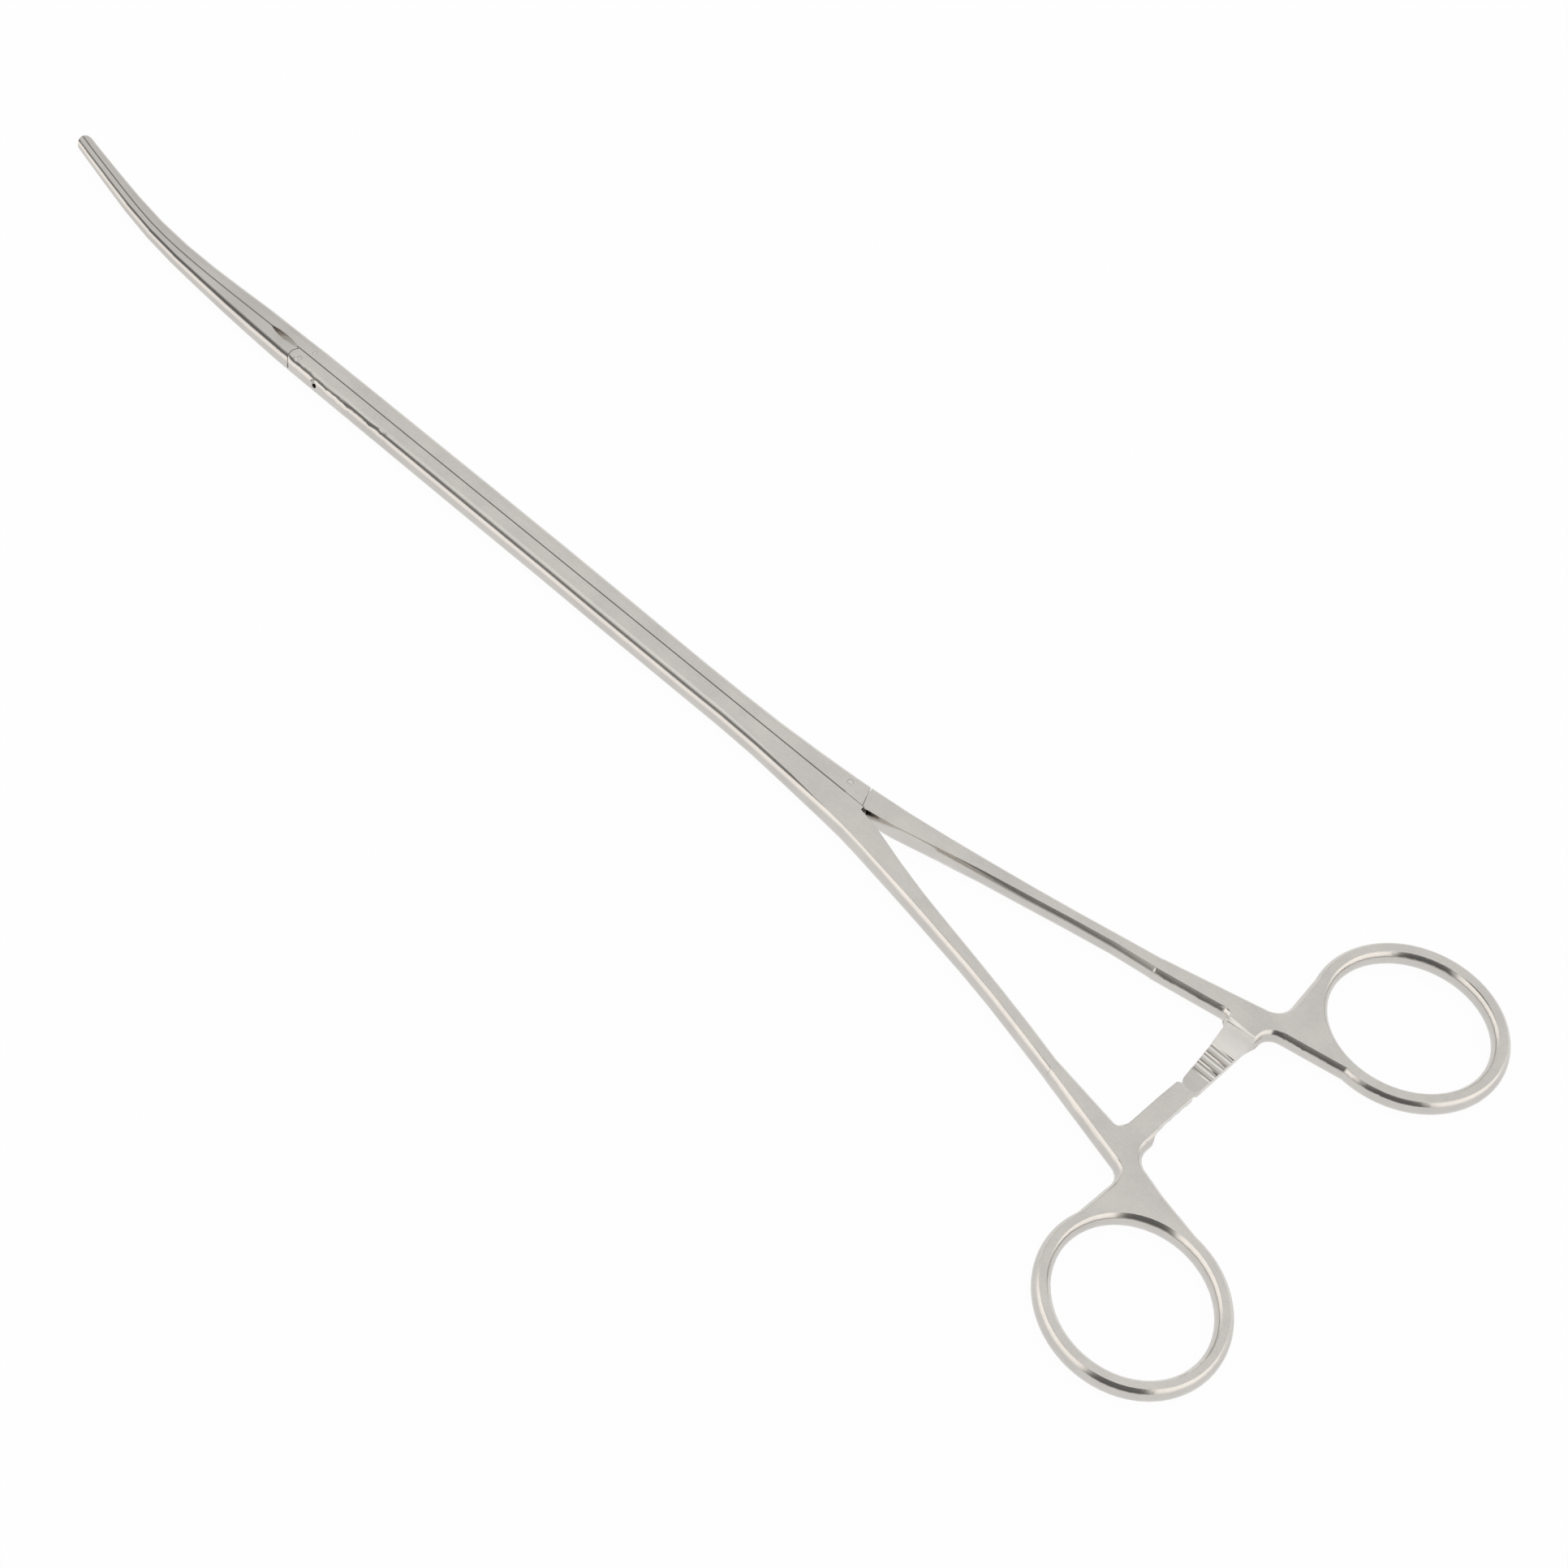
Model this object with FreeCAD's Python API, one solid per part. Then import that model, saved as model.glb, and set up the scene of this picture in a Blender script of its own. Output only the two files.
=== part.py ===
import FreeCAD, Part
import math
import os

# Thoracoscopic forceps with two half shafts that slide on each other. Millimetres.
# X runs from the jaws to the finger rings, Y across the instrument towards the
# sliding half, Z up. The underside lies on Z = 0 and the fixed half's seam face on Y = 0.

V = FreeCAD.Vector
UP = V(0, 0, 1)

THICKNESS = 3.9
MID = THICKNESS / 2.0
SEAM = 0.06

RUN = 0.04
PRESS = 0.01
PIN_FLUSH = 0.02
PIN_EDGE = 0.06

BLADE = 1.4
BLADE_SIDE = 0.05
BLADE_RIM = 0.12

HANDLE_PIVOT = (-0.76, -2.10)
HANDLE_PIVOT_R = 0.8
HANDLE_PIVOT_TOP = 3.3
HANDLE_LINK = (0.0, 2.21)
HANDLE_LINK_R = 0.5
HANDLE_ARM = (4.28, 4.41)
HANDLE_BOSS_R = 1.7

JAW_PIVOT = (-126.39, -1.58)
JAW_PIVOT_R = 0.4
JAW_LINK = (-125.30, 1.18)
JAW_LINK_R = 0.4
JAW_ARM = (2.74, 2.99)
JAW_BOSS_R = 1.3
SHAFT_END_R = 2.05
JAW_SEAT_R = 2.15

RAIL_X = (-108.0, -68.0, -28.0)
RAIL_LENGTH = 5.0
RAIL_TRAVEL = 1.7
RAIL_NECK = 1.0
RAIL_HEAD = 2.0
RAIL_NECK_DEPTH = 0.9
RAIL_DEPTH = 1.6
RAIL_PLAY = 0.05

SHAFT_START = -128.8
SHAFT_STOP = 4.9
JAW_JOIN = -124.0
EYE_X = -128.3
TIP_X = -188.5
TIP_R = 1.6
JAW_GAP = 0.02
TOOTH_PITCH = 1.0
TOOTH_DEPTH = 0.2
TOOTH_REACH = (-187.0, -138.0)
TOOTH_HALF = 0.72

# line along which the two jaws meet
SPLIT_LINE = ((-190.0, 6.83), (-187.0, 6.0), (-178.75, 3.97), (-165.0, 1.05), (-151.25, 0.13), (-135.0, 0.13))
# x, half thickness and width of the flat of each jaw, from the eye to the tip
JAW_TAPER = ((-137.5, 1.83, 1.2), (-144.5, 1.72, 0.9), (-151.25, 1.60, 0.66), (-158.0, 1.49, 0.47))
JAW_TAPER += ((-165.0, 1.375, 0.33), (-171.9, 1.265, 0.22), (-178.75, 1.155, 0.15), (-185.6, 1.045, 0.12))
JAW_TAPER += ((-188.8, 1.0, 0.12),)
# width of each jaw from the split line at those places
FIXED_JAW_WIDTH = (3.22, 2.98, 2.72, 2.55, 2.38, 2.12, 1.86, 1.66, 1.60)
MOVING_JAW_WIDTH = (3.32, 2.90, 2.46, 2.14, 1.91, 1.84, 1.74, 1.62, 1.60)

ARM_STOP = 60.5
ARM_LAP = 0.4
ARM_INSET = 0.05
SIDE_BULGE = 1.0
# centre, turn, half axes of the finger opening and width of the flat
RING_1 = (97.58, 34.79, 15.1, 15.33, 13.49, 1.32)
RING_2 = (96.68, -39.06, -20.25, 15.54, 14.02, 1.2)

GROOVE_PITCH = 2.05
GROOVE_DEPTH = 0.55
FLUSH_X = -121.0
FLUSH_R = 0.43


def bow(bulge, half, height):
    """How far a bowed side stands out at a height above the middle plane."""
    radius = (half * half + bulge * bulge) / (2.0 * bulge)
    return math.sqrt(radius * radius - height * height) - radius + bulge


def section(x, inner, outer, half=MID, out_bulge=MID, in_bulge=0.0):
    """Cross section of a half shaft, jaw or handle arm in a plane across X."""
    side = 1.0 if outer > inner else -1.0
    low, high = MID - half, MID + half
    a, b = V(x, inner, high), V(x, outer, high)
    c, d = V(x, outer, low), V(x, inner, low)
    edges = [Part.makeLine(a, b)]
    edges.append(Part.Arc(b, V(x, outer + side * out_bulge, MID), c).toShape())
    edges.append(Part.makeLine(c, d))
    if in_bulge > 0.0:
        edges.append(Part.Arc(d, V(x, inner - side * in_bulge, MID), a).toShape())
    else:
        edges.append(Part.makeLine(d, a))
    return Part.Wire(edges)


def loft(wires, ruled=False):
    body = Part.makeLoft(wires, True, ruled)
    return flattened(body) if ruled else body


def flattened(body):
    """The same solid with its flat faces held as true planes, so that neighbours merge."""
    faces = []
    for face in body.Faces:
        if face.findPlane() and not isinstance(face.Surface, Part.Plane):
            points = [vertex.Point for vertex in face.OuterWire.OrderedVertexes]
            face = Part.Face(Part.makePolygon(points + points[:1]))
        faces.append(face)
    shell = Part.Shell(faces)
    shell.sewShape()
    solid = Part.Solid(shell)
    if solid.Volume < 0.0:
        solid.reverse()
    if not solid.isValid():
        raise ValueError("a body could not be closed")
    return solid.removeSplitter()


def rounded_wire(corners, z=0.0, grow=0.0):
    """Closed outline of straight sides and corner radii, grown outwards."""
    count = len(corners)
    lines = []
    for i in range(count):
        ax, ay = corners[i][:2]
        bx, by = corners[(i + 1) % count][:2]
        length = math.hypot(bx - ax, by - ay)
        ux, uy = (bx - ax) / length, (by - ay) / length
        lines.append((ax + uy * grow, ay - ux * grow, ux, uy))
    points = []
    for i in range(count):
        px, py, ux, uy = lines[i - 1]
        qx, qy, wx, wy = lines[i]
        turn = ux * wy - uy * wx
        t = ((qx - px) * wy - (qy - py) * wx) / turn
        cx, cy = px + ux * t, py + uy * t
        radius = corners[i][2] if len(corners[i]) > 2 else 0.0
        if radius == 0.0:
            points.append((V(cx, cy, z),))
            continue
        radius += grow if turn > 0.0 else -grow
        half = 0.5 * math.atan2(abs(turn), ux * wx + uy * wy)
        back = radius * math.tan(half)
        bx, by = wx - ux, wy - uy
        size = math.hypot(bx, by)
        reach = radius / math.cos(half) - radius
        first = V(cx - ux * back, cy - uy * back, z)
        middle = V(cx + bx / size * reach, cy + by / size * reach, z)
        last = V(cx + wx * back, cy + wy * back, z)
        points.append((first, middle, last))
    edges = []
    for i in range(count):
        here, after = points[i], points[(i + 1) % count]
        if len(here) == 3:
            edges.append(Part.Arc(*here).toShape())
        edges.append(Part.makeLine(here[-1], after[0]))
    return Part.Wire(edges)


def slab(corners, low, high):
    """Flat plate of the given outline between two heights."""
    return Part.Face(rounded_wire(corners, low)).extrude(UP * (high - low))


def levels():
    """Heights at which a bowed outline is lofted, with its growth at each."""
    steps = (-1.0, -0.5, 0.0, 0.5, 1.0)
    return [(MID + s * MID, bow(SIDE_BULGE, MID, s * MID)) for s in steps]


def pillow(corners):
    """Plate with flat faces and bowed sides, square where it meets its arm."""
    plate = loft([rounded_wire(corners, z, grow) for z, grow in levels()])
    start = ARM_STOP - ARM_LAP
    return plate.cut(box(start - 9.0, start, -40.0, 40.0, -1.0, THICKNESS + 1.0))


def ellipse_wire(ring, grow, z):
    x, y, turn, major, minor, _ = ring
    curve = Part.Ellipse(V(0, 0, 0), major + grow, minor + grow)
    shape = curve.toShape()
    shape.rotate(V(0, 0, 0), UP, turn)
    shape.translate(V(x, y, z))
    return Part.Wire([shape])


def ring_outside(ring):
    return loft([ellipse_wire(ring, ring[5] + grow, z) for z, grow in levels()])


def ring_hole(ring):
    """Finger opening, waisted by the bowed inner side of the ring."""
    return loft([ellipse_wire(ring, -grow, z) for z, grow in levels()])


def cylinder(centre, radius, low, high):
    return Part.makeCylinder(radius, high - low, V(centre[0], centre[1], low))


def pin(centre, radius, low=PIN_FLUSH, high=THICKNESS - PIN_FLUSH):
    """Pin with small chamfers at both ends."""
    shape = cylinder(centre, radius, low, high)
    rims = [e for e in shape.Edges if isinstance(e.Curve, Part.Circle)]
    return shape.makeChamfer(PIN_EDGE, rims).Solids[0]


def box(x0, x1, y0, y1, z0, z1):
    return Part.makeBox(x1 - x0, y1 - y0, z1 - z0, V(x0, y0, z0))


def link_slot(pivot, link, reach, radius):
    """Short radial slot in a blade that takes up the arc of the link pin."""
    dx, dy = link[0] - pivot[0], link[1] - pivot[1]
    size = math.hypot(dx, dy)
    ux, uy = dx / size, dy / size
    near = (pivot[0] + ux * reach[0], pivot[1] + uy * reach[0])
    far = (pivot[0] + ux * reach[1], pivot[1] + uy * reach[1])
    side = (-uy * radius, ux * radius)
    quad = [(near[0] - side[0], near[1] - side[1]), (far[0] - side[0], far[1] - side[1])]
    quad += [(far[0] + side[0], far[1] + side[1]), (near[0] + side[0], near[1] + side[1])]
    shape = slab(quad, 0.0, THICKNESS)
    return shape.fuse([cylinder(near, radius, 0, THICKNESS), cylinder(far, radius, 0, THICKNESS)])


def split_curve(shift):
    """Line along which the two jaws meet, from the tip to the eye."""
    curve = Part.BSplineCurve()
    curve.interpolate([V(x, y + shift, 0) for x, y in SPLIT_LINE])
    return curve


def jaw_face_cutter(side):
    """Everything beyond the gripping face of one jaw, teeth and eye included."""
    curve = split_curve(side * JAW_GAP)
    first = curve.value(curve.FirstParameter)
    last = curve.value(curve.LastParameter)
    eye_mid = V(EYE_X - 3.0, 0.54, 0) if side > 0 else V(EYE_X - 2.8, -0.65, 0)
    eye_end = V(EYE_X, SEAM, 0) if side > 0 else V(EYE_X + 0.2, -0.22, 0)
    away = -side * 9.0
    edges = [curve.toShape(), Part.Arc(last, eye_mid, eye_end).toShape()]
    right = JAW_JOIN - 0.5 if side < 0 else eye_end.x
    if side < 0:
        edges.append(Part.makeLine(eye_end, V(right, eye_end.y, 0)))
    corners = [V(right, eye_end.y, 0), V(right, away, 0), V(first.x, away, 0), first]
    edges += [Part.makeLine(corners[i], corners[i + 1]) for i in range(3)]
    block = Part.Face(Part.Wire(edges)).extrude(UP * THICKNESS)
    return block.fuse(teeth(curve, side))


def teeth(curve, side):
    """Cross grooves of the gripping face, short of its two edges."""
    grooves = []
    start, end = TOOTH_REACH
    for i in range(int((end - start) / TOOTH_PITCH)):
        x = start + i * TOOTH_PITCH
        at = curve.value(curve.parameter(V(x, split_height(curve, x), 0)))
        root = V(x, at.y + side * TOOTH_DEPTH, 0)
        wide = 0.36 * TOOTH_PITCH
        base = [V(x - wide, at.y - side * 0.3, 0), V(x + wide, at.y - side * 0.3, 0)]
        notch = Part.Face(Part.makePolygon([base[0], base[1], root, base[0]]))
        notch.translate(UP * (MID - TOOTH_HALF))
        grooves.append(notch.extrude(UP * 2.0 * TOOTH_HALF))
    return grooves


def split_height(curve, x):
    """Y of the split curve at an X."""
    low, high = curve.FirstParameter, curve.LastParameter
    for _ in range(40):
        middle = 0.5 * (low + high)
        if curve.value(middle).x < x:
            low = middle
        else:
            high = middle
    return curve.value(low).y


def jaw_stations(widths):
    return [(x, width, half, flat) for (x, half, flat), width in zip(JAW_TAPER, widths)]


def jaw_section(x, inner, flat, outer, half):
    """Cross section of a jaw: a flat that runs out into half a circle or half an ellipse."""
    low, high = MID - half, MID + half
    a, b = V(x, inner, high), V(x, flat, high)
    c, d = V(x, flat, low), V(x, inner, low)
    crown = V(x, outer, MID)
    side = Part.Arc(b, crown, c)
    if abs(outer - flat) > half + 0.001:
        oval = Part.Ellipse(crown, b, V(x, flat, MID))
        side = Part.ArcOfEllipse(oval, -math.pi / 2.0, math.pi / 2.0)
    return Part.Wire([Part.makeLine(a, b), side.toShape(), Part.makeLine(c, d), Part.makeLine(d, a)])


def jaw_body(side, stations):
    """Tapering jaw on one side of the split line."""
    curve = split_curve(0.0)
    wires = []
    for x, width, half, flat in stations:
        y = split_height(curve, x) if x < SPLIT_LINE[-1][0] else 0.0
        wires.append(jaw_section(x, y - side * 0.6, y + side * flat, y + side * width, half))
    body = loft(wires, True)
    tip = curve.value(curve.parameter(V(TIP_X, 5.9, 0)))
    centre = V(TIP_X + TIP_R, split_height(curve, TIP_X + TIP_R), 0)
    nose = cylinder((centre.x, centre.y), TIP_R, 0, THICKNESS)
    front = box(TIP_X - 1.0, centre.x, tip.y - 6.0, tip.y + 6.0, 0, THICKNESS)
    return body.cut(front.cut(nose))


def rail(x):
    """T rail under the sliding half, with its foot inside the fixed half."""
    left, right = x - RAIL_LENGTH / 2.0, x + RAIL_LENGTH / 2.0
    neck = box(left, right, -RAIL_DEPTH, SEAM + 0.3, MID - RAIL_NECK / 2.0, MID + RAIL_NECK / 2.0)
    head = box(left, right, -RAIL_DEPTH, -RAIL_NECK_DEPTH, MID - RAIL_HEAD / 2.0, MID + RAIL_HEAD / 2.0)
    return neck.fuse(head)


def rail_slot(x):
    """Undercut slot for a rail, with a wide entry at its handle end."""
    left = x - RAIL_LENGTH / 2.0 - RAIL_TRAVEL
    right = x + RAIL_LENGTH / 2.0 + 0.15
    entry = right + RAIL_LENGTH + 0.3
    neck = RAIL_NECK / 2.0 + RAIL_PLAY
    head = RAIL_HEAD / 2.0 + RAIL_PLAY
    shape = box(left, entry, -RAIL_DEPTH - RAIL_PLAY, 0.0, MID - neck, MID + neck)
    under = box(left, entry, -RAIL_DEPTH - RAIL_PLAY, RAIL_PLAY - RAIL_NECK_DEPTH, MID - head, MID + head)
    window = box(right, entry, -RAIL_DEPTH - RAIL_PLAY, 0.0, MID - head, MID + head)
    return shape.fuse([under, window])


def flush_hole():
    """Rinsing port through the rounded side of the fixed half to the seam."""
    tilt = math.radians(20.0)
    into = V(0, math.cos(tilt), -math.sin(tilt))
    start = V(FLUSH_X, -3.44, MID + 0.67) - into * 1.0
    return Part.makeCylinder(FLUSH_R, 4.9, start, into)


def gap_slab(corners):
    """Saw slot for a blade at the middle of the thickness."""
    half = BLADE / 2.0 + BLADE_SIDE
    return slab(corners, MID - half, MID + half)


def fixed_half():
    """Lower half shaft with its handle, finger ring and ratchet arm."""
    # x, outer flat edge and bow of the outer side
    shaft = [(SHAFT_START, 1.56, MID), (-124.0, 1.60, MID), (-103.0, 1.78, MID), (-82.5, 1.95, MID)]
    shaft += [(-66.0, 2.04, MID), (-49.5, 2.24, MID), (-33.0, 2.35, MID), (-24.8, 2.42, 1.92)]
    shaft += [(-16.5, 2.98, 1.6), (-8.3, 3.92, 1.2), (0.0, 4.80, 0.92), (SHAFT_STOP, 5.37, 0.76)]
    body = loft([section(x, 0.0, -flat, MID, bulge) for x, flat, bulge in shaft], True)
    # x, inner flat edge, outer flat edge, inner bow, outer bow
    arm = [(SHAFT_STOP, 0.75, 5.37, 0.03, 0.76), (9.3, 1.62, 6.0, 0.1, 0.76)]
    arm += [(16.6, 3.92, 7.16, 0.45, 0.86), (23.0, 5.80, 8.17, 0.85, 0.95)]
    arm += [(30.0, 7.50, 9.38, 1.0, 1.03), (37.0, 9.05, 10.68, 1.0, 1.03)]
    arm += [(44.0, 10.65, 12.18, 1.0, 1.03), (52.0, 12.60, 14.15, 1.0, 1.03)]
    arm += [(ARM_STOP, 14.80 + ARM_INSET, 16.37 - ARM_INSET, 1.0, 1.0)]
    limb = loft([section(x, -a, -b, MID, bo, bi) for x, a, b, bi, bo in arm], True)
    yoke = [(ARM_STOP - 2.5, -14.33), (ARM_STOP - 2.5, -15.69), (81.85, -22.1, 3.9), (80.85, -34.5)]
    yoke += [(96.3, -38.9), (97.6, -23.85), (88.4, -21.85, 14.0), (79.62, -19.2, 4.5), (80.27, -2.65)]
    yoke += [(76.65, -2.65), (75.7, -17.25, 1.8)]
    plan = [(70.0, -16.6), (70.0, -14.95), (75.8, -15.5, 0.9), (76.1, -8.0), (76.55, -2.65, 0.7)]
    plan += [(80.37, -2.65, 0.7), (79.85, -12.4, 4.0), (83.0, -18.4), (83.0, -19.0)]
    body = joined(body, [limb, finger_trimmed(pillow(yoke), plan, -16.6), ring_outside(RING_2)])
    body = carved(body, [ring_hole(RING_2), ratchet_relief(-1)])
    cuts = [rail_slot(x) for x in RAIL_X]
    cuts.append(flush_hole())
    cuts.append(cylinder(HANDLE_PIVOT, HANDLE_PIVOT_R + PRESS, 0.0, HANDLE_PIVOT_TOP + 0.05))
    cuts.append(cylinder(JAW_PIVOT, JAW_PIVOT_R + PRESS, 0.0, THICKNESS))
    px, py = HANDLE_PIVOT
    reach = HANDLE_BOSS_R + BLADE_RIM + 0.03
    cuts.append(gap_slab([(px - 2.25, 0.5), (px - 2.25, py - reach, 2.2), (px + 0.6, py - reach, 2.0), (8.0, -1.45), (8.0, 0.5)]))
    jx, jy = JAW_PIVOT
    low = jy - JAW_BOSS_R - BLADE_RIM
    cuts.append(gap_slab([(-130.0, 0.5), (-130.0, low), (jx + 1.42, low, 1.3), (jx + 2.05, -0.3, 0.3), (jx + 2.05, 0.5)]))
    keep = cylinder(JAW_PIVOT, SHAFT_END_R, 0, THICKNESS)
    end = box(SHAFT_START - 1.0, jx, -5.0, 1.0, 0, THICKNESS).cut(keep)
    cuts.append(end)
    return whole(carved(body, cuts))


def finger_trimmed(plate, plan, root):
    """Plate whose ratchet arm, beyond the height root, is cut to a plan with upright sides."""
    left, right = min(c[0] for c in plan), max(c[0] for c in plan)
    end = 6.0 if root < 0.0 else -10.0
    low, high = min(root, end), max(root, end)
    around = box(left, right, low, high, -1.0, THICKNESS + 1.0)
    return plate.cut(around.cut(slab(plan, -1.0, THICKNESS + 1.0)))


def ratchet_relief(side):
    """Half of the thickness taken off a ratchet arm, with its rounded teeth.

    Side +1 works from above on the swinging handle, -1 from below on the fixed one."""
    if side > 0:
        root, foot, crest, end, right = 13.4, 8.3, 2.0, 2.3, 85.0
    else:
        root, foot, crest, end, right = -17.2, -10.6, 2.0, -4.5, 85.0
    along = -side
    far = V(73.5, end + along * 8.0, crest - 0.12)
    edges = [Part.Arc(V(73.5, root, THICKNESS), V(73.5, 0.5 * (root + foot) + along * 0.7, crest + 0.62),
                      V(73.5, foot, crest)).toShape()]
    y = foot
    last = V(73.5, foot, crest)
    for _ in range(3):
        after = V(73.5, y + along * GROOVE_PITCH, crest)
        middle = V(73.5, y + along * GROOVE_PITCH / 2.0, crest - GROOVE_DEPTH)
        edges.append(Part.Arc(last, middle, after).toShape())
        last = after
        y += along * GROOVE_PITCH
    step = V(73.5, y + along * 0.25, crest - 0.12)
    corners = [last, step, far, V(73.5, far.y, THICKNESS + 1.0), V(73.5, root, THICKNESS + 1.0)]
    corners.append(V(73.5, root, THICKNESS))
    edges += [Part.makeLine(corners[i], corners[i + 1]) for i in range(5)]
    shape = Part.Face(Part.Wire(edges)).extrude(V(right - 73.5, 0, 0))
    if side < 0:
        shape = shape.mirror(V(0, 0, MID), UP)
    return shape


def sliding_half():
    """Upper half shaft with the fixed jaw and the T rails."""
    shaft = [(JAW_JOIN, 1.60, MID), (-103.0, 1.65, MID), (-82.5, 1.67, MID), (-66.0, 1.64, MID)]
    shaft += [(-49.5, 1.50, MID), (-41.0, 1.38, MID), (-33.0, 1.31, MID), (-24.8, 1.38, 1.92)]
    shaft += [(-16.5, 1.75, 1.7), (-8.3, 2.53, 1.3), (0.0, 3.33, 1.05), (SHAFT_STOP, 3.85, 0.95)]
    body = loft([section(x, SEAM, flat, MID, bulge) for x, flat, bulge in shaft], True)
    jaw = [(JAW_JOIN, 3.55, MID, 1.6), (-130.0, 3.42, 1.91, 1.48)] + jaw_stations(FIXED_JAW_WIDTH)
    upper = jaw_body(1, jaw).cut(jaw_face_cutter(1))
    upper = upper.cut(box(EYE_X - 0.01, JAW_JOIN + 1.0, -2.0, SEAM, 0, THICKNESS))
    body = joined(body, [upper] + [rail(x) for x in RAIL_X])
    cuts = [cylinder(HANDLE_LINK, HANDLE_LINK_R + PRESS, 0, THICKNESS)]
    cuts.append(cylinder(JAW_LINK, JAW_LINK_R + PRESS, 0, THICKNESS))
    cuts.append(gap_slab([(-2.2, -0.5), (9.0, -0.5), (9.0, 3.83), (-2.2, 3.83, 1.2)]))
    jx = JAW_LINK[0]
    cuts.append(gap_slab([(jx - 1.85, -0.5), (jx + 1.6, -0.5), (jx + 1.6, 2.55, 1.0), (jx - 1.85, 2.55, 1.0)]))
    cuts.append(slab([(4.72, -0.4), (9.0, -0.4), (9.0, 7.0), (2.0, 7.0)], -0.1, THICKNESS + 0.1))
    return whole(carved(body, cuts))


def moving_jaw():
    """Swinging jaw and the flat tail that the link pin drives."""
    jaw = [(-126.3, 3.52, 1.94, 1.58), (-131.0, 3.45, 1.90, 1.5)] + jaw_stations(MOVING_JAW_WIDTH)
    body = jaw_body(-1, jaw).cut(jaw_face_cutter(-1))
    body = body.cut(cylinder(JAW_PIVOT, JAW_SEAT_R, 0, THICKNESS))
    body = body.cut(box(JAW_PIVOT[0] - 0.9, JAW_JOIN, -5.0, 1.0, 0, THICKNESS))
    jx, jy = JAW_PIVOT
    low, high = MID - BLADE / 2.0, MID + BLADE / 2.0
    boss = cylinder(JAW_PIVOT, JAW_BOSS_R, low, high)
    tail = [(jx - 1.18, jy - 0.1), (jx + 1.2, jy - 0.5), (jx + 2.45, jy + 3.3, 1.0), (jx + 0.35, jy + 4.0, 1.0)]
    blade = boss.fuse([slab(tail, low, high), slab([(-129.5, -0.35), (-129.5, jy - 0.28), (jx, jy - 0.4), (jx, jy + 1.2), (jx - 1.2, -0.32)], low, high)])
    body = body.fuse(blade)
    holes = [cylinder(JAW_PIVOT, JAW_PIVOT_R + RUN, 0, THICKNESS)]
    holes.append(link_slot(JAW_PIVOT, JAW_LINK, JAW_ARM, JAW_LINK_R + RUN + 0.02))
    return whole(carved(body, holes))


def moving_handle():
    """Swinging handle with its finger ring, toothed arm and flat tongue."""
    arm = [(2.6, -0.24, 3.60, 0.03, 0.98), (SHAFT_STOP, -0.17, 3.85, 0.03, 0.98), (11.0, 0.88, 4.54, 0.1, 0.98)]
    arm += [(19.25, 3.0, 5.78, 0.4, 1.0), (27.5, 5.12, 7.17, 0.78, 1.02), (35.75, 6.95, 8.65, 0.86, 1.03)]
    arm += [(44.0, 8.80, 10.25, 0.9, 1.03), (52.25, 10.54, 11.97, 0.95, 1.03)]
    arm += [(ARM_STOP, 11.79 + ARM_INSET, 13.72 - ARM_INSET, 1.0, 1.0)]
    limb = loft([section(x, a, b, MID, bo, bi) for x, a, b, bi, bo in arm], True)
    yoke = [(ARM_STOP - 2.5, 13.10), (ARM_STOP - 2.5, 11.30), (75.1, 14.6, 1.7), (76.65, -1.3)]
    yoke += [(79.9, -1.3), (80.62, 16.95, 3.7), (97.0, 20.25), (97.4, 34.6), (81.3, 32.6), (82.3, 19.5, 4.4)]
    plan = [(84.0, 15.4), (84.0, 15.3), (80.55, 12.4, 3.6), (80.0, -1.4, 1.3), (76.5, -1.4, 1.3)]
    plan += [(76.0, 4.0), (75.15, 13.15, 0.8), (70.0, 12.2), (70.0, 15.4)]
    plate = finger_trimmed(pillow(yoke), plan, 15.0)
    body = joined(limb, [plate, ring_outside(RING_1)])
    shoulder = [(1.0, -0.6), (5.02, -0.6), (5.02, 0.06), (4.63, 0.06), (3.66, 2.65), (3.6, 3.0), (3.6, 3.52)]
    shoulder += [(3.06, 4.5), (2.87, 5.4), (1.0, 5.4)]
    body = carved(body, [ring_hole(RING_1), ratchet_relief(1), slab(shoulder, -0.1, THICKNESS + 0.1)])
    low, high = MID - BLADE / 2.0, MID + BLADE / 2.0
    px, py = HANDLE_PIVOT
    boss = cylinder(HANDLE_PIVOT, HANDLE_BOSS_R, low, high)
    tongue = [(px - 1.66, py), (px + 0.4, py - 1.65), (5.6, -0.45), (5.6, 2.0), (3.9, 2.45)]
    tongue += [(px + 1.6, py + 5.6, 1.0), (px - 0.45, py + 5.6, 1.2)]
    body = body.fuse(boss.fuse(slab(tongue, low, high)))
    holes = [cylinder(HANDLE_PIVOT, HANDLE_PIVOT_R + RUN, 0, THICKNESS)]
    holes.append(link_slot(HANDLE_PIVOT, HANDLE_LINK, HANDLE_ARM, HANDLE_LINK_R + RUN + 0.02))
    return whole(carved(body, holes))


def joined(shape, others):
    for other in others:
        shape = shape.fuse(other)
    return shape


def carved(shape, tools):
    for tool in tools:
        shape = shape.cut(tool)
    return shape


def whole(shape):
    """The single solid that the cuts leave, with faces merged where that is sound."""
    merged = shape.copy().removeSplitter()
    solids = merged.Solids if merged.isValid() else shape.Solids
    if len(solids) != 1:
        raise ValueError("a part came out in %d pieces" % len(solids))
    return solids[0]


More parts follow.
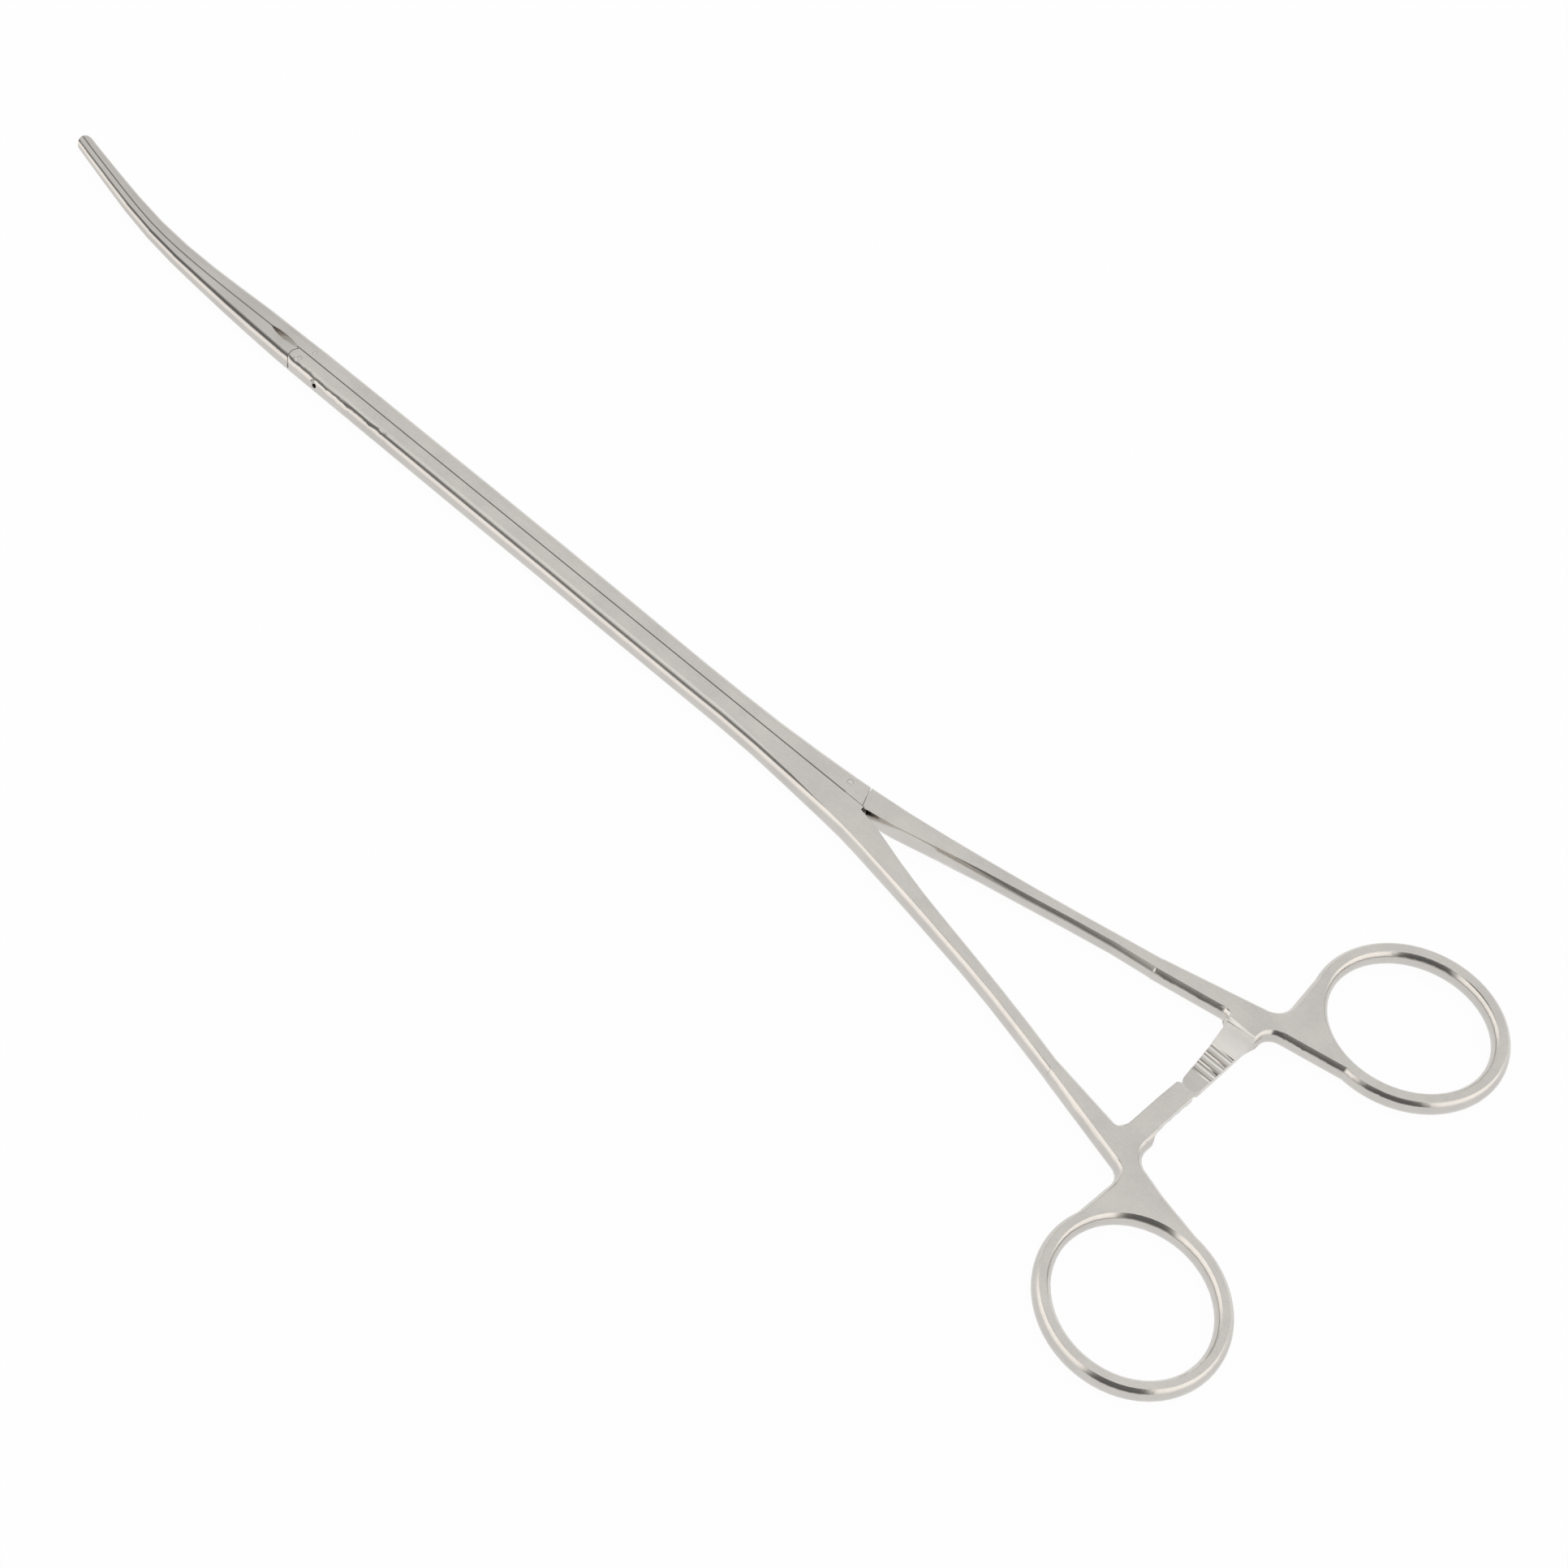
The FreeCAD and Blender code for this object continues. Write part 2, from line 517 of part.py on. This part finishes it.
def build():
    return {
        "fixed_half": fixed_half(),
        "sliding_half": sliding_half(),
        "moving_jaw": moving_jaw(),
        "moving_handle": moving_handle(),
        "jaw_pivot_pin": pin(JAW_PIVOT, JAW_PIVOT_R, 0.05, THICKNESS - 0.05),
        "jaw_link_pin": pin(JAW_LINK, JAW_LINK_R),
        "handle_link_pin": pin(HANDLE_LINK, HANDLE_LINK_R),
        "handle_pivot_pin": pin(HANDLE_PIVOT, HANDLE_PIVOT_R, PIN_FLUSH, HANDLE_PIVOT_TOP),
    }


os.makedirs("parts", exist_ok=True)
for name, shape in build().items():
    print(name, shape.ShapeType, len(shape.Solids), shape.isValid(), round(shape.Volume, 2))
    shape.exportStep("parts/" + name + ".step")
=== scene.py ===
import bmesh
import bpy
import math
from mathutils import Euler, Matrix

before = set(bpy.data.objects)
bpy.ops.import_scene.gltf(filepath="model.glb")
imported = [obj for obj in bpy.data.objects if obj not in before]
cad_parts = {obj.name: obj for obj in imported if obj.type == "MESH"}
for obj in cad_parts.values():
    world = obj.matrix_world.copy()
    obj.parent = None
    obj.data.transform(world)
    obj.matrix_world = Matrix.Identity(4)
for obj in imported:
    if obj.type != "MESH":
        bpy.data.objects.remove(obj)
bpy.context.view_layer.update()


class Value:
    """A socket of a shader, with arithmetic."""

    def __init__(self, tree, socket):
        self.tree, self.socket = tree, socket

    def math(self, operation, *others):
        return self.tree.node("ShaderNodeMath", {"operation": operation}, [self, *others])

    def __add__(self, other):
        return self.math("ADD", other)

    def __sub__(self, other):
        return self.math("SUBTRACT", other)

    def __rsub__(self, other):
        return self.tree.node("ShaderNodeMath", {"operation": "SUBTRACT"}, [other, self])

    def __mul__(self, other):
        return self.math("MULTIPLY", other)

    def smooth(self, low, high):
        """0 below low, 1 above high, with a soft step between."""
        return self.tree.node("ShaderNodeMapRange", {"interpolation_type": "SMOOTHSTEP"},
                              {"Value": self, "From Min": low, "From Max": high}, "Result")


class Tree:
    """The node tree of one material or of the world."""

    def __init__(self, owner):
        owner.use_nodes = True
        self.nodes, self.links = owner.node_tree.nodes, owner.node_tree.links
        self.nodes.clear()

    def node(self, kind, settings=None, inputs=None, output=0):
        made = self.nodes.new(kind)
        for name, value in (settings or {}).items():
            if name == "stops":
                stops = made.color_ramp.elements
                while len(stops) < len(value):
                    stops.new(1.0)
                for stop, (place, colour) in zip(stops, value):
                    stop.position, stop.color = place, colour
            else:
                setattr(made, name, value)
        pairs = inputs.items() if isinstance(inputs, dict) else enumerate(inputs or [])
        for key, value in pairs:
            if isinstance(value, Value):
                self.links.new(value.socket, made.inputs[key])
            else:
                made.inputs[key].default_value = value
        return Value(self, made.outputs[output]) if len(made.outputs) else None

    def mix(self, share, first, second):
        """Colour between two colours."""
        return self.node("ShaderNodeMix", {"data_type": "RGBA"}, {0: share, 6: first, 7: second}, 2)

    def noise(self, place, scale, detail=2.0, rough=0.5):
        return self.node("ShaderNodeTexNoise", None,
                         {"Vector": place, "Scale": scale, "Detail": detail, "Roughness": rough}, "Fac")

    def stretched(self, place, scale):
        return self.node("ShaderNodeMapping", None, {"Vector": place, "Scale": scale})

    def split(self, vector):
        """The three numbers of a vector."""
        made = self.nodes.new("ShaderNodeSeparateXYZ")
        self.links.new(vector.socket, made.inputs[0])
        return [Value(self, output) for output in made.outputs]

    def facing(self, way, azimuth):
        """1 where a level direction points to the azimuth in degrees, -1 where it points away."""
        turn = math.radians(azimuth)
        return self.node("ShaderNodeVectorMath", {"operation": "DOT_PRODUCT"},
                         {0: way, 1: (math.cos(turn), math.sin(turn), 0.0)}, 1)


def grey(level, warmth=1.0):
    return (level * warmth, level, level / warmth, 1.0)


# half the thickness of the forceps, and how far from mid height the flats and their borders begin, in metres
MIDDLE = 0.00195
FLAT_FROM, FLAT_FULL = 0.00189, 0.00194
BORDER_FROM, BORDER_FULL = 0.0012, 0.0018
# the finishing streaks fade out towards the jaws between these places
STREAKS_FROM, STREAKS_FULL = -0.132, -0.122
# half width of the painted shade line along the seam gap, and where it fades; how strong the painted shade is,
# and its colour
SEAM_SHADE_FULL, SEAM_SHADE_CLEAR = 0.00006, 0.00019
SEAM_SHADE_STRENGTH = 0.65
SEAM_SHADE_COLOUR = (0.05, 0.048, 0.045, 1.0)
# where the two halves part, from the tips of the jaws to the handle joint, in millimetres
SPLIT_LINE = [(-190, 6.83), (-186, 5.738), (-182, 4.748), (-178, 3.789), (-174, 2.831), (-170, 1.941),
              (-166, 1.202), (-162, 0.682), (-158, 0.364), (-154, 0.192), (-150, 0.112), (-146, 0.085),
              (-141, 0.095), (-136, 0.125), (-133.5, 0.08), (-131, 0.03), (4, 0.03)]


def satin_steel(name, colour, streaks):
    """Stainless steel: blasted flats, smoother rounded sides, streaks between them, painted shade as a dark
    line along the seam.
    """
    material = bpy.data.materials.new(name)
    tree = Tree(material)
    place = tree.node("ShaderNodeTexCoord", None, None, "Object")
    length, breadth, height = tree.split(place)
    off_middle = (height - MIDDLE).math("ABSOLUTE")
    flat = off_middle.smooth(FLAT_FROM, FLAT_FULL)
    border = (off_middle.smooth(BORDER_FROM, BORDER_FULL) - flat) * length.smooth(STREAKS_FROM, STREAKS_FULL)
    start, end = SPLIT_LINE[0][0], SPLIT_LINE[-1][0]
    stops = [((x - start) / (end - start), grey(y * 0.1)) for x, y in SPLIT_LINE]
    along_split = (length * 1000.0 - start) * (1.0 / (end - start))
    split = tree.node("ShaderNodeValToRGB", {"stops": stops}, {"Fac": along_split})
    # painted shade: darker base colour along the split line, standing in for the shade in the gap between the
    # halves, on top and bottom faces only
    seam_shade = 1.0 - (breadth - split * 0.01).math("ABSOLUTE").smooth(SEAM_SHADE_FULL, SEAM_SHADE_CLEAR)
    facing = tree.split(tree.node("ShaderNodeTexCoord", None, None, "Normal"))[2].math("ABSOLUTE")
    seam_shade = seam_shade * (1.0 - length.smooth(0.0005, 0.001)) * facing.smooth(0.45, 0.8) * SEAM_SHADE_STRENGTH
    clouds = tree.noise(place, 150.0, 4.0, 0.55)
    grain = tree.noise(place, 2400.0, 3.0, 0.6)
    across = tree.noise(tree.stretched(place, (3600.0, 260.0, 260.0)), 1.0, 3.0, 0.6)
    along = tree.noise(tree.stretched(place, (60.0, 2600.0, 2600.0)), 1.0, 2.0, 0.5)
    shade = clouds * 0.55 + grain * flat * 0.3 + across * border * streaks * 0.5 + along * 0.15
    dark = (colour[0] * 0.88, colour[1] * 0.88, colour[2] * 0.885, 1.0)
    light = (colour[0] * 1.10, colour[1] * 1.10, colour[2] * 1.09, 1.0)
    tint = tree.mix(shade.smooth(0.12, 0.78), dark, light)
    # painted shade: the seam shade colour mixed into the base colour
    tint = tree.mix(seam_shade, tint, SEAM_SHADE_COLOUR)
    rough = clouds * 0.06 + grain * flat * 0.05 + across * border * streaks * 0.06 + flat * 0.11 + 0.13
    relief = grain * (flat * 0.85 + 0.05) + across * border * streaks * 0.3 + along * 0.12
    bump = tree.node("ShaderNodeBump", None, {"Strength": 0.10, "Distance": 0.00003, "Height": relief})
    shader = tree.node("ShaderNodeBsdfPrincipled", None,
                       {"Base Color": tint, "Metallic": 1.0, "Roughness": rough, "Normal": bump})
    tree.node("ShaderNodeOutputMaterial", None, {"Surface": shader})
    return material


# middle of the room's near side, of the dark beam and of the dark gap, in degrees
NEAR_AZIMUTH, BEAM_AZIMUTH, GAP_AZIMUTH = -60.6, -137.0, -62.0
# radiance of the room from the horizon (0) to straight overhead (1)
NEAR_ROOM = [(0.0, grey(1.00, 1.01)), (0.08, grey(1.30, 1.02)), (0.34, grey(1.40, 1.03)), (0.50, grey(1.00)),
             (0.80, grey(0.95)), (0.92, grey(1.45)), (1.0, grey(1.55))]
FAR_ROOM = [(0.0, grey(0.80)), (0.5, grey(0.85)), (0.72, grey(0.88)), (0.88, grey(1.30)), (1.0, grey(1.55))]


def world_light():
    """Studio room: bright walls and ceiling, a dark beam high on the left, a dark gap on the near side."""
    world = bpy.data.worlds.new("studio_room")
    bpy.context.scene.world = world
    tree = Tree(world)
    way = tree.node("ShaderNodeTexCoord", None, None, "Generated")
    x, y, z = tree.split(way)
    level = tree.node("ShaderNodeVectorMath", {"operation": "NORMALIZE"},
                      [tree.node("ShaderNodeCombineXYZ", None, [x, y, 0.0])])
    rise = z.math("ARCSINE") * (2.0 / math.pi)
    near_side = tree.node("ShaderNodeValToRGB", {"stops": NEAR_ROOM}, {"Fac": rise})
    far_side = tree.node("ShaderNodeValToRGB", {"stops": FAR_ROOM}, {"Fac": rise})
    room = tree.mix(tree.facing(level, NEAR_AZIMUTH).smooth(-0.65, -0.1), far_side, near_side)
    beam = tree.facing(level, BEAM_AZIMUTH).smooth(0.79, 0.95)
    beam = beam * rise.smooth(0.37, 0.47) * (1.0 - rise.smooth(0.60, 0.80))
    room = tree.mix(beam, room, grey(0.16))
    gap = tree.facing(level, GAP_AZIMUTH).smooth(0.80, 0.93) * (1.0 - rise.smooth(0.46, 0.62))
    room = tree.mix(gap, room, grey(0.15))
    back = tree.node("ShaderNodeBackground", None, {"Color": room, "Strength": 1.0})
    tree.node("ShaderNodeOutputWorld", None, {"Surface": back})


# half the table's width and the gap under the forceps in metres, and how far the table shows as plain white
TABLE_HALF_WIDTH, TABLE_GAP, TABLE_WHITE = 12.0, 0.00005, 0.96


def table_top():
    """White table that the forceps lies on."""
    mesh = bmesh.new()
    bmesh.ops.create_grid(mesh, x_segments=1, y_segments=1, size=TABLE_HALF_WIDTH)
    bmesh.ops.translate(mesh, verts=mesh.verts, vec=(0.0, 0.0, -TABLE_GAP))
    data = bpy.data.meshes.new("table_top")
    mesh.to_mesh(data)
    mesh.free()
    top = bpy.data.objects.new("table_top", data)
    bpy.context.scene.collection.objects.link(top)
    material = bpy.data.materials.new("white_table")
    tree = Tree(material)
    path = tree.nodes.new("ShaderNodeLightPath").outputs
    seen = [Value(tree, path[ray]) for ray in ("Is Camera Ray", "Is Glossy Ray", "Is Transmission Ray")]
    shown = seen[0].math("MAXIMUM", seen[1]).math("MAXIMUM", seen[2])
    lit = tree.node("ShaderNodeBsdfDiffuse", None, {"Color": (0.9, 0.9, 0.9, 1.0)})
    flat = tree.node("ShaderNodeEmission", None, {"Color": (1.0, 1.0, 1.0, 1.0), "Strength": 1.0})
    both = tree.node("ShaderNodeMixShader", None, {0: shown * TABLE_WHITE, 1: lit, 2: flat})
    tree.node("ShaderNodeOutputMaterial", None, {"Surface": both})
    data.materials.append(material)


def camera():
    """The photograph's view: from the near side, 56 degrees up, rolled by 14 degrees."""
    data = bpy.data.cameras.new("photo_camera")
    data.lens, data.sensor_width = 118.0, 36.0
    data.clip_start, data.clip_end = 0.05, 20.0
    view = bpy.data.objects.new("photo_camera", data)
    bpy.context.scene.collection.objects.link(view)
    view.location = (0.230427, -0.428339, 0.727511)
    view.rotation_euler = Euler([math.radians(a) for a in (32.99456, -7.78880, 41.21994)], "XYZ")
    bpy.context.scene.camera = view


# width of the edge breaks in metres, and how near two faces have to be to count as one flat, in degrees
EDGE_BREAK, ONE_FLAT = 0.00008, 0.05


def dress(node, material, edge):
    """Gives a CAD node its finish, and soft edge breaks of this width; its vertices stay as they are."""
    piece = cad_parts[node]
    mesh = piece.data
    mesh.materials.clear()
    mesh.materials.append(material)
    if edge == 0.0:
        return
    for name in ("custom_normal", "sharp_face", "sharp_edge"):
        if name in mesh.attributes:
            mesh.attributes.remove(mesh.attributes[name])
    mesh.shade_smooth()
    piece.modifiers.new("closed_skin", "WELD").merge_threshold = 0.000001
    plain = piece.modifiers.new("plain_flats", "DECIMATE")
    plain.decimate_type, plain.angle_limit = "DISSOLVE", math.radians(ONE_FLAT)
    bevel = piece.modifiers.new("edge_breaks", "BEVEL")
    bevel.limit_method, bevel.angle_limit = "ANGLE", math.radians(24.0)
    bevel.offset_type, bevel.width, bevel.segments = "WIDTH", edge, 2
    bevel.use_clamp_overlap = False
    piece.modifiers.new("flat_shading", "WEIGHTED_NORMAL").weight = 50


camera()
world_light()
table_top()
scene = bpy.context.scene
scene.view_settings.view_transform = "Standard"
STEEL = satin_steel("satin_steel", (0.615, 0.588, 0.556), 1.0)
PIN = satin_steel("pin_steel", (0.66, 0.645, 0.62), 0.0)
for node in ("fixed_half", "sliding_half", "moving_handle"):
    dress(node, STEEL, EDGE_BREAK)
dress("moving_jaw", STEEL, 0.0)
for node in ("jaw_pivot_pin", "jaw_link_pin", "handle_link_pin", "handle_pivot_pin"):
    dress(node, PIN, 0.0)
